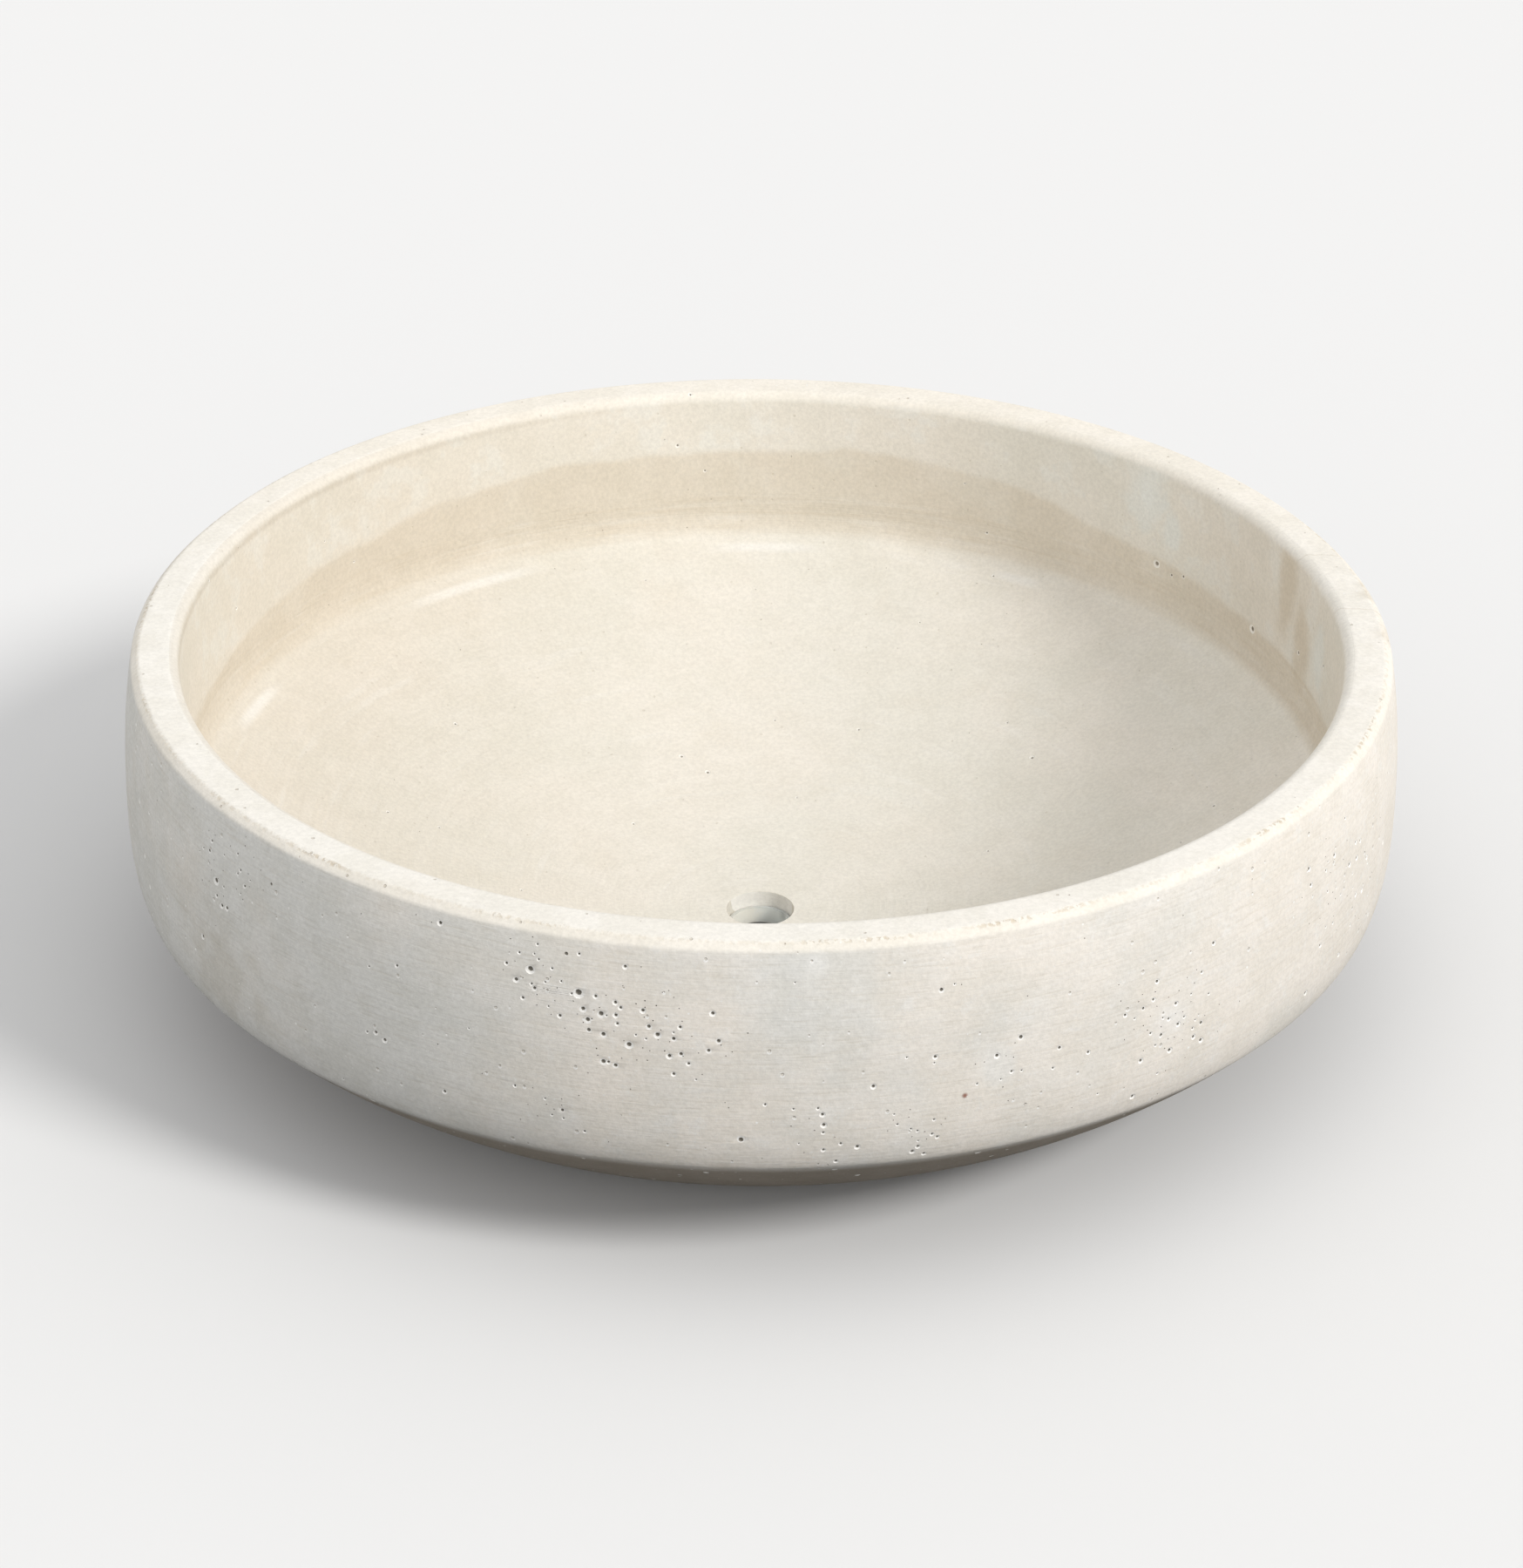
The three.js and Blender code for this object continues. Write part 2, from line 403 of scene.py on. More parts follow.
class Concrete(Graph):
    """The surface of the cast concrete. Each method lays on one thing that shaped or marked it."""

    def __init__(self, tree):
        super().__init__(tree)
        self.place = self.add("ShaderNodeTexCoord", output="Object")
        self.x = self.add("ShaderNodeSeparateXYZ", None, {0: self.place})
        self.y, self.z = self.x.also("Y"), self.x.also("Z")
        self.across = (self.x * self.x + self.y * self.y) ** 0.5
        self.mottle = self.noise(self.place, 0.018, 4.0, 0.6, (0.7, 5.2, 2.2))
        self.blotches = self.step(self.mottle, 0.40, 0.60)
        self.grain = self.noise(self.place, 0.0016, 3.0, 0.65, (8.0, 1.0, 4.0))
        clouds = self.step(self.noise(self.place, 0.085, 3.0, 0.55, (3.1, 0.4, 1.7)), 0.36, 0.64)
        self.colour = self.blended(clouds, pale_cream, grey_cream)
        self.relief = self.grain * 0.00010 + self.mottle * 0.00035
        self.rough = 0.90 - 0.10 * self.blotches

        # Where on the bowl a point is: the dished side, its wall and floor, the outside, the rim
        over_floor = self.z > 0.0075 + 0.3 * (self.across - 0.10).at_least(0.0)
        self.dished = over_floor * (self.across < inner_rim_radius + 0.004)
        at_wall = self.step(self.across, inner_foot_radius - 0.006, inner_foot_radius - 0.001)
        self.inner_wall = self.dished * at_wall
        self.floor = self.dished * (1 - self.inner_wall)
        self.outside = 1 - self.dished
        self.rim = self.step(self.z, height - 0.0046, height - 0.0018)
        self.left_inside = self.dished * self.step(self.x * -1, 0.0, 0.20)

    def stretched(self, upward, spot=None):
        """The place squeezed or drawn out upwards, so that what is read from it is too."""
        return self.moved("MULTIPLY", spot or self.place, (1.0, 1.0, 1 / upward))

    def near(self, centre, reach, edge=0.0, tall=1.0):
        """1 at a point and 0 beyond its reach, with an edge roughened by noise."""
        spot = self.moved("SUBTRACT", self.place, tuple(centre))
        away = self.moved("LENGTH", self.stretched(tall, spot), output="Value")
        return 1 - self.step(away + edge * reach * (self.mottle - 0.5), 0.25 * reach, reach)

    def laid(self, share, colour, way="MIX"):
        """A colour laid over what is there so far, by that share."""
        self.colour = self.blended(share, self.colour, colour, way)

    def mould_side(self):
        """The outside: cool and warm clouds, lighter and warmer towards +X as painted light and cooler and
        darker towards -X as painted shade, and the fine level marks that the mould left.
        """
        # Painted light and shade: the clouds lean warm and light on the +X side, towards the lamp, and cool
        # and dark on the -X side.
        cloud = self.noise(self.place, 0.075, 4.0, 0.6, (1.0, 9.0, 3.3)) + self.x * 0.8
        self.laid(self.outside * 0.92, self.blended(self.step(cloud, 0.28, 0.70), wall_cool_and_shaded, wall_warm_and_lit))
        marks = self.noise(self.stretched(0.06), 0.016, 4.0, 0.65, (3.0, 1.0, 5.0))
        self.laid(self.outside * self.step(marks, 0.50, 0.66) * 0.22, chalk)
        self.laid(self.outside * (1 - self.step(marks, 0.34, 0.46)) * 0.16, earth_stain_and_pin_shade)
        self.relief = self.relief + self.outside * marks * 0.00012

    def tide_line(self):
        """The lower part of the inner wall stayed damp longer, and dried tan to an uneven line."""
        # The whole left side of the inside, wall and floor, is tinted tan.
        self.laid(self.left_inside * 0.22, damp_tan)
        top = tide_height - 0.012 * (self.x / inner_foot_radius) ** 4
        for angle, rise, spread in tide_swells:
            swell = around(angle, inner_rim_radius, tide_height)
            away = self.moved("DISTANCE", self.place, tuple(swell), output="Value")
            top = top + rise * (1 - self.step(away, 0.2 * spread, spread))
        tide = self.z - top + 0.010 * (self.noise(self.place, 0.035, 4.0, 0.55, (2.0, 0.0, 6.0)) - 0.5)
        patchy = self.step(self.noise(self.place, 0.030, 4.0, 0.6, (5.0, 2.0, 8.0)), 0.28, 0.52)
        damp = self.inner_wall * (1 - self.step(tide, -0.0022, 0.0016)) * (0.66 + 0.34 * patchy)
        self.laid(damp * 0.62, damp_tan)
        streaks = self.noise(self.stretched(0.04), 0.06, 4.0, 0.6, (0.0, 4.0, 0.0))
        low_wall = self.inner_wall * (1 - self.step(self.z, streaked_height - 0.010, streaked_height))
        self.laid(low_wall * self.step(streaks, 0.52, 0.66) * 0.42, damp_tan)
        self.laid(low_wall * (1 - self.step(streaks, 0.34, 0.46)) * 0.13, chalk)
        wisps = self.step(tide, 0.0, 0.004) * self.step(patchy * self.mottle, 0.46, 0.62)
        self.laid(self.inner_wall * wisps * 0.22, cold_white)
        self.relief = self.relief + low_wall * streaks * 0.0004
        self.rough = self.rough - 0.06 * damp

    def inner_marks(self):
        """Damp runs and pale patches on the inner wall, and painted shade that darkens the right inner wall
        and the left side of the inside.
        """
        runs = 0.0
        for angle, z_mark, reach, tall in damp_runs:
            runs = self.near(around(angle, inner_rim_radius, z_mark), reach, 0.8, tall).at_least(runs)
        self.laid(runs * self.inner_wall * 0.75, damp_tan)
        for angle, z_mark, reach, tall in pale_patches:
            pale = self.near(around(angle, inner_rim_radius, z_mark), reach, 2.2, tall)
            self.laid(pale * self.inner_wall * 0.55, cold_white)
        # Painted shade: the right inner wall, turned away from the lamp, and the left side of the inside
        # are multiplied darker.
        right_wall = self.inner_wall * self.step(self.x, 0.165, 0.205)
        self.laid(self.left_inside.at_least(right_wall) * 0.55, painted_shade_tint, "MULTIPLY")

    def pressed_foot_and_highlight(self):
        """Where the float pressed hardest, along the wall's foot, the cement is glossier, and it is painted
        pale there as a highlight.
        """
        inward = self.step(self.across, pressed_radius - 0.0035, pressed_radius - 0.0005)
        outward = 1 - self.step(self.across, pressed_radius + 0.0005, pressed_radius + 0.0035)
        foot = inward * outward * self.dished
        by_chance = self.step(self.noise(self.place, 0.07, 3.0, 0.5, (4.0, 6.0, 1.0)), 0.56, 0.66)
        pressed = foot * by_chance * 0.4
        for angle, half_length in pressed_and_highlit_stretches:
            middle = around(angle, pressed_radius, inner_foot_height - 0.005)
            pressed = pressed.at_least(foot * self.near(middle, half_length, 0.5))
        # Painted highlight: the pressed stretches are laid pale.
        self.laid(pressed * 0.5, chalk)
        self.rough = self.rough - 0.28 * pressed

    def floated_floor(self):
        """The float's arcs round the drain, faint stains, and painted light that whitens the bore of the
        drain hole.
        """
        sweep = self.vector(self.across * 9.0, self.x * 0.9, self.y * 0.9)
        arcs = self.noise(sweep, 0.055, 4.0, 0.6, (2.5, 3.5, 0.0))
        self.laid(self.floor * self.step(arcs, 0.52, 0.70) * 0.14, grey_cream)
        self.laid(self.floor * (1 - self.step(arcs, 0.30, 0.44)) * 0.14, chalk)
        stains = self.step(self.noise(self.place, 0.05, 5.0, 0.65, (9.0, 3.0, 2.0)), 0.54, 0.70)
        self.laid(self.floor * stains * 0.12, damp_tan)
        # Painted light: the concrete bore of the drain hole, deep in shade, is laid near white.
        in_drain = (self.across < drain_radius + 0.0002) * (self.z < floor_thickness - 0.0004)
        self.laid(self.dished * in_drain * 0.8, painted_light_white)
        self.relief = self.relief + self.floor * arcs * 0.0006

    def rubbed_rim(self):
        """The rim is rubbed white, its edges cream, with sand showing along the outer one, and painted
        shade dims its inner edge on the left.
        """
        flat_edge = wall_top_radius - eased_edge
        eased = self.rim * self.step(self.across, flat_edge - 0.0006, flat_edge + 0.0006)
        self.laid(self.rim * 0.88, rim_white)
        self.laid(self.rim * self.step(self.y, 0.0, 0.20) * 0.65, edge_cream)
        self.laid(eased * 0.5, edge_cream)
        # Painted shade: the inner round of the rim on the left, which faces the lamp, is multiplied darker
        # to dim its highlight.
        below_top = self.step(self.z, height - 0.0075, height - 0.005)
        soft_edge = self.left_inside * below_top * (1 - self.step(self.z, height - 0.0009, height))
        self.laid(soft_edge * 0.6, painted_shade_tint, "MULTIPLY")
        from_inside = self.step(self.across, flat_edge - 0.0012, flat_edge)
        from_outside = 1 - self.step(self.across, flat_edge + 0.0004, flat_edge + 0.0014)
        grit = self.step(self.noise(self.place, 0.0021, 3.0, 0.6, (2.0, 8.0, 6.0)), 0.47, 0.60)
        worn = self.step(self.noise(self.place, 0.05, 2.0, 0.5, (1.3, 0.2, 0.0)), 0.46, 0.66)
        sandy = self.rim * from_inside * from_outside * grit * (0.25 + 0.75 * worn)
        self.laid(sandy * 0.65, edge_ochre)
        self.relief = self.relief - sandy * 0.0002

    def hairline_cracks(self):
        """Fine cracks across the rim."""
        bend = (self.mottle - 0.5) * 0.012 + (self.grain - 0.5) * 0.0012
        for angle, lean in rim_cracks:
            heading = around(angle, 1.0, 0.0)
            off_line = self.x * heading.y * -1 + self.y * heading.x
            off_line = off_line + (self.across - 0.24) * lean + bend
            crack = self.rim * (self.x > 0.0) * (1 - self.step(off_line * off_line, 0.0, 0.0000004))
            self.laid(crack * 0.28, earth_stain_and_pin_shade)

    def outside_marks(self):
        """Chalky bloom, earth stains, a speck of rust, rubbed scratches, and painted shade on the
        underside.
        """
        bloom = self.step(self.noise(self.place, 0.010, 6.0, 0.8, (6.0, 6.0, 0.0)), 0.54, 0.64)
        self.laid(self.outside * (1 - self.rim) * bloom * 0.38, chalk)
        for marks, ragged, colour in ((chalky_marks, 2.2, chalk), (earth_marks, 1.6, earth_stain_and_pin_shade)):
            for angle, z_mark, reach, share in marks:
                self.laid(self.near(on_wall(angle, z_mark), reach, ragged) * share, colour)
        self.laid(self.near(rust_place, 0.0016) * 0.9, rust_red)
        lines = self.step(self.noise(self.stretched(0.03), 0.02, 2.0, 0.5), 0.52, 0.60)
        scratched = self.near(scratched_place, 0.012, 0.6, 0.45) * lines
        self.laid(scratched * 0.7, chalk)
        self.relief = self.relief + scratched * 0.0001
        # Painted shade: the underside below the lower edge is laid dark.
        shaded_low_down = 1 - self.step(self.z, lower_edge_height - 0.006, lower_edge_height)
        self.laid(shaded_low_down * self.outside * 0.85, underside_painted_shade)

    def scattered(self, spacing, spot):
        """How far off the nearest of many scattered points is, and that point's own dice."""
        cells = self.add("ShaderNodeTexVoronoi", None, {"Vector": spot, "Scale": 1 / spacing})
        dice = self.add("ShaderNodeSeparateColor", None, {0: cells.also("Color")})
        return cells, dice

    def fine_grain(self):
        """Grain, pin holes with painted shade in them and a painted highlight on their lower lip, sand
        grains, and crumbs of chalk.
        """
        crowded = 0.0
        for angle, z_cluster, spread, share in air_hole_clusters:
            away = self.moved("DISTANCE", self.place, tuple(on_wall(angle, z_cluster)), output="Value")
            crowded = (1 - self.step(away, 0.4 * spread, 1.4 * spread)) * share + crowded
        pin_away, dice = self.scattered(pin_spacing, self.place)
        above = self.moved("ADD", self.place, (0.0, 0.0, 0.0005))
        lip_away, _ = self.scattered(pin_spacing, above)
        pin_size = 0.06 + 0.12 * dice.also("Green")
        pinned = dice > 0.78 - 0.30 * crowded
        in_pin = pinned * (1 - self.step(pin_away / pin_size, 0.6, 0.9)) * (1 - 0.6 * self.dished)
        in_lip = pinned * (1 - self.step(lip_away / pin_size, 0.9, 1.25))
        in_sand = (dice < 0.30) * (1 - self.step(pin_away / 0.11, 0.6, 1.0))
        crumb_away, crumb_dice = self.scattered(crumb_spacing, self.place)
        gathered = self.step(self.noise(self.place, 0.02, 3.0, 0.6, (4.0, 2.0, 1.0)), 0.46, 0.62)
        crumbly = crumb_dice < 0.5 * gathered + 0.25 * crowded
        in_crumb = crumbly * (1 - self.step(crumb_away / 0.16, 0.5, 1.0))
        wall_only = self.outside * (1 - self.rim)
        self.laid(0.6, self.blended(self.step(self.grain, 0.25, 0.75), grain_dark, grain_light), "MULTIPLY")
        blotch_tint = self.blended(self.blotches, blotch_dark, blotch_light)
        self.laid(0.3 + 0.2 * self.outside, blotch_tint, "MULTIPLY")
        # Painted highlight on each pin hole's lower lip, and painted shade in the hole itself.
        self.laid(in_lip * wall_only, painted_light_white)
        self.laid(in_pin * 0.50, earth_stain_and_pin_shade)
        self.laid(in_sand * self.outside * 0.75, chalk)
        self.laid(in_crumb * wall_only * 0.75, chalk)
        self.relief = self.relief - in_pin * 0.00036

    def air_hole_walls(self):
        """The cut air holes: the `pocket` attribute is 1 in a hole, laid dark as painted shade, and -1 in
        its worn mouth, laid white as a painted highlight.
        """
        pocket = self.add("ShaderNodeAttribute", {"attribute_name": "pocket"}, output="Fac")
        self.laid((pocket * -1).at_least(0.0) * (0.85 - 0.35 * self.dished), painted_light_white)
        self.laid(pocket.at_least(0.0) * (0.85 - 0.45 * self.dished), hole_shade)


def concrete_material():
    material = bpy.data.materials.new("cast_concrete")
    material.use_nodes = True
    g = Concrete(material.node_tree)
    g.mould_side()
    g.tide_line()
    g.inner_marks()
    g.pressed_foot_and_highlight()
    g.floated_floor()
    g.rubbed_rim()
    g.hairline_cracks()
    g.outside_marks()
    g.fine_grain()
    g.air_hole_walls()
    sockets = {"Strength": 1.0, "Distance": 1.0, "Height": g.relief}
    bump = g.add("ShaderNodeBump", None, sockets, "Normal")
    sockets = {"Base Color": g.colour, "Roughness": g.rough, "Normal": bump, "Specular IOR Level": 0.35}
    shader = g.add("ShaderNodeBsdfPrincipled", None, sockets)
    g.add("ShaderNodeOutputMaterial", None, {"Surface": shader})
    return material


# The largest air holes, by degrees round from +X, height and width
largest_air_holes = (
    (-104.6, 0.122, 0.0036), (-102.7, 0.115, 0.0028), (-100.4, 0.104, 0.0027),
    (-108.7, 0.128, 0.0030), (-104.2, 0.116, 0.0023), (-103.8, 0.112, 0.0025),
    (-103.7, 0.108, 0.0022), (-102.5, 0.107, 0.0024), (-98.1, 0.109, 0.0024),
    (-98.8, 0.112, 0.0021), (-96.8, 0.108, 0.0021), (-102.5, 0.096, 0.0025),
    (-101.5, 0.095, 0.0021), (-96.2, 0.102, 0.0020), (-94.0, 0.104, 0.0019),
    (-93.2, 0.108, 0.0022), (-99.3, 0.118, 0.0020), (-109.9, 0.123, 0.0021),
    (-108.3, 0.121, 0.0019), (-105.7, 0.136, 0.0021), (-100.8, 0.134, 0.0018),
    (-142.8, 0.114, 0.0030), (-144.0, 0.124, 0.0019), (-135.0, 0.127, 0.0018),
    (-91.4, 0.067, 0.0028), (-106.0, 0.073, 0.0019), (-68.5, 0.100, 0.0023),
    (-75.3, 0.124, 0.0021), (-65.0, 0.092, 0.0018), (-50.6, 0.082, 0.0020),
    (-55.0, 0.084, 0.0018), (-57.0, 0.098, 0.0017),
)
# The same on the inner wall
largest_inner_holes = (
    (42.0, 0.099, 0.0030), (25.6, 0.095, 0.0032), (39.7, 0.097, 0.0018), (37.9, 0.099, 0.0018),
    (15.0, 0.104, 0.0021), (7.0, 0.114, 0.0018), (-128.0, 0.101, 0.0026), (-61.0, 0.112, 0.0022),
)
# Where smaller ones gather: degrees, height, spread, and how thickly they lie
air_hole_clusters = (
    (-108.0, 0.126, 0.022, 0.9),
    (-100.5, 0.108, 0.028, 1.0),
    (-95.0, 0.104, 0.018, 0.8),
    (-141.0, 0.119, 0.026, 0.8),
    (-107.0, 0.073, 0.016, 0.6),
    (-85.0, 0.067, 0.018, 0.8),
    (-77.0, 0.066, 0.018, 0.9),
    (-70.0, 0.088, 0.016, 0.6),
    (-54.0, 0.088, 0.030, 0.9),
    (-30.0, 0.100, 0.034, 0.6),
    (28.0, 0.112, 0.032, 0.9),
    (74.0, 0.095, 0.034, 0.8),
    (121.0, 0.118, 0.032, 1.0),
    (163.0, 0.090, 0.034, 0.7),
)
lone_hole_chance = 0.040
inside_hole_chance = 0.012
most_holes_per_area = 60000.0
# The two cuts of an air hole, its worn mouth and the hole itself: how wide and how deep, as shares
# of the hole's width, the least width that gets one, and the `pocket` value of its faces
hole_cuts = ((1.4, 0.42, 0.0009, -1.0), (0.68, 1.6, 0.0, 1.0))


class Casting(Turning):
    """The turned bowl, made slightly uneven and cut by air holes and by chips along its rim."""

    def __init__(self, name):
        super().__init__(name)
        self.place = self.add("GeometryNodeInputPosition")
        self.z = self.add("ShaderNodeSeparateXYZ", None, {0: self.place}, "Z")
        self.level = self.moved("MULTIPLY", self.place, (1.0, 1.0, 0.0))

    def uneven(self, body, unevenness):
        """Moves the surface inwards by a slight wave, up to that much."""
        facing = self.add("GeometryNodeInputNormal")
        wave = self.noise(self.place, 0.09, 1.0, 0.4)
        offset = self.scaled(facing, wave * unevenness * -1)
        return self.add("GeometryNodeSetPosition", None, {"Geometry": body, "Offset": offset})

    def luck(self, seed, low=0.0, high=1.0):
        sockets = {2: low, 3: high, "Seed": seed}
        return self.add("FunctionNodeRandomValue", {"data_type": "FLOAT"}, sockets, 1)

    def bored(self, points, turn, width, segments):
        """A deep round hole at each point, and the worn dish that the mouth of a wide one opens in."""
        ball = self.add(
            "GeometryNodeMeshUVSphere", None, {"Segments": segments, "Rings": 5, "Radius": 0.5}
        )
        cuts = []
        for wide_share, deep_share, least, tone in hole_cuts:
            size = self.vector(width * wide_share, width * wide_share, width * deep_share)
            sockets = {
                "Points": points, "Selection": width > least, "Instance": ball,
                "Rotation": turn, "Scale": size,
            }
            cut = self.add("GeometryNodeInstanceOnPoints", None, sockets)
            cut = self.add("GeometryNodeRealizeInstances", None, {0: cut})
            settings = {"data_type": "FLOAT", "domain": "FACE"}
            sockets = {"Geometry": cut, "Name": "pocket", "Value": tone}
            cuts.append(self.add("GeometryNodeStoreNamedAttribute", settings, sockets))
        return cuts

    def small_holes(self, body, spacing, smallest, widest, seed):
        """Small air holes, thick in the clusters and thin elsewhere."""
        across = self.moved("LENGTH", self.level, output="Value")
        outer = across > inner_rim_radius + 0.004
        lone = lone_hole_chance * (self.z < height - 0.006)
        chance = outer * lone + (1 - outer) * (self.z > 0.02) * inside_hole_chance
        for angle, z_cluster, spread, share in air_hole_clusters:
            away = self.moved("DISTANCE", self.place, tuple(on_wall(angle, z_cluster)), output="Value")
            gathered = share * (1 - self.step(away, 0.2 * spread, spread))
            chance = chance + outer * (self.z < height - 0.004) * gathered
        sockets = {
            "Mesh": body, "Distance Min": spacing, "Density Max": most_holes_per_area,
            "Density Factor": chance, "Seed": seed,
        }
        spots = self.add(
            "GeometryNodeDistributePointsOnFaces", {"distribute_method": "POISSON"}, sockets
        )
        width = smallest + (widest - smallest) * self.luck(seed + 1) ** 3
        return self.bored(spots, spots.also("Rotation"), width, 8)

    def large_holes(self, markers):
        """The largest air holes, each at its own marker and of that marker's width."""
        marked = self.add("GeometryNodeObjectInfo", None, {"Object": markers}, "Geometry")
        marked = self.add("GeometryNodeMeshToPoints", None, {0: marked})
        turn = self.add("FunctionNodeAlignRotationToVector", {"axis": "Z"}, {"Vector": self.level})
        settings = {"data_type": "FLOAT"}
        width = self.add("GeometryNodeInputNamedAttribute", settings, {"Name": "width"})
        return self.bored(marked, turn, width, 12)

    def rim_chips(self, places, radius, level, width, seed):
        """Chips along the rim's outer edge, more of them where the noise runs high."""
        settings = {"fill_type": "NONE"}
        edge = self.add("GeometryNodeMeshCircle", settings, {"Vertices": places, "Radius": radius})
        lift = self.vector(0.0, 0.0, level)
        edge = self.add("GeometryNodeTransform", None, {0: edge, "Translation": lift})
        rough_stretch = self.step(self.noise(self.place, 0.05, 2.0, 0.5, (1.3, 0.2, 0.0)), 0.42, 0.70)
        kept = self.luck(seed + 2) < rough_stretch * 0.8 + 0.03
        shake = self.add(
            "FunctionNodeRandomValue", {"data_type": "FLOAT_VECTOR"},
            {0: (-0.0004, -0.0004, -0.0002), 1: (0.0004, 0.0004, 0.0003), "Seed": seed + 3},
        )
        edge = self.add("GeometryNodeSetPosition", None, {"Geometry": edge, "Offset": shake})
        size = width * self.luck(seed + 4, 0.2, 1.0)
        length = width * self.luck(seed + 5, 0.3, 1.2)
        crumb = self.add("GeometryNodeMeshIcoSphere", None, {"Radius": 0.5, "Subdivisions": 1})
        sockets = {
            "Points": edge, "Selection": kept, "Instance": crumb,
            "Scale": self.vector(length, size, size * 0.6),
        }
        chips = self.add("GeometryNodeInstanceOnPoints", None, sockets)
        return self.add("GeometryNodeRealizeInstances", None, {0: chips})


def hole_markers():
    """A point for each of the largest air holes, with its width as an attribute."""
    placed = [(on_wall(angle, z_hole), wide) for angle, z_hole, wide in largest_air_holes]
    placed += [(on_inner_wall(angle, z_hole), wide) for angle, z_hole, wide in largest_inner_holes]
    points = bpy.data.meshes.new("hole markers")
    points.from_pydata([spot for spot, wide in placed], [], [])
    widths = points.attributes.new("width", "FLOAT", "POINT")
    widths.data.foreach_set("value", [wide for spot, wide in placed])
    return bpy.data.objects.new("hole markers", points)


def bowl_casting():
    g = Casting("bowl casting")
    outline = outline_object("bowl outline", bowl_outline)
    markers = hole_markers()
    loop = g.asked("Outline", "NodeSocketObject", outline)
    sides = g.asked("Sides", "NodeSocketInt", 240)
    unevenness = g.asked("Unevenness", "NodeSocketFloat", 0.0005)
    hole_spacing = g.asked("Air Hole Spacing", "NodeSocketFloat", 0.0024)
    smallest = g.asked("Smallest Air Hole", "NodeSocketFloat", 0.0007)
    widest = g.asked("Widest Air Hole", "NodeSocketFloat", 0.0021)
    marked = g.asked("Large Air Holes", "NodeSocketObject", markers)
    chip_places = g.asked("Chip Places", "NodeSocketInt", 620)
    chip_width = g.asked("Chip Width", "NodeSocketFloat", 0.0021)
    chip_radius = g.asked("Chipped Edge Radius", "NodeSocketFloat", wall_top_radius - eased_edge)
    chip_height = g.asked("Chipped Edge Height", "NodeSocketFloat", height)
    seed = g.asked("Seed", "NodeSocketInt", 7)
    finish = g.asked("Concrete", "NodeSocketMaterial", concrete_material())

    body = g.uneven(g.turned(loop, sides), unevenness)
    dishes, bores = g.small_holes(body, hole_spacing, smallest, widest, seed)
    large_dishes, large_bores = g.large_holes(marked)
    chips = g.rim_chips(chip_places, chip_radius, chip_height, chip_width, seed)
    for cut in (dishes, large_dishes, bores, large_bores, chips):
        settings = {"operation": "DIFFERENCE", "solver": "MANIFOLD"}
        body = g.add("GeometryNodeMeshBoolean", settings, {"Mesh 1": body, "Mesh 2": cut})
    g.finished(body, finish, sharpest_smooth_edge)
    piece = g.made("bowl_casting")
    bpy.data.objects.remove(outline)
    bpy.data.objects.remove(markers)
    return piece


bowl = bowl_casting()
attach(bowl, "root")
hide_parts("bowl")

# ---------------------------------------------------------------------------------------------
# The drain sleeve: a short length of off-white plastic pipe that the concrete was cast round.
# Its sawn top edge stands a little below the floor. Its left side is tinted ivory and its right side cool
# white, as painted light and shade, and it is painted darker at a spot on the right and towards the bottom.
# ---------------------------------------------------------------------------------------------

sleeve_low, sleeve_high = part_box("drain_sleeve")
sleeve_radius = sleeve_high.x
sleeve_wall = 0.0015
sleeve_edge_round = 0.0004
pipe_cool_white_shaded = (0.93, 0.97, 0.955, 1)
pipe_ivory = (0.93, 0.90, 0.80, 1)
pipe_grime_and_shade = (0.20, 0.21, 0.20, 1)


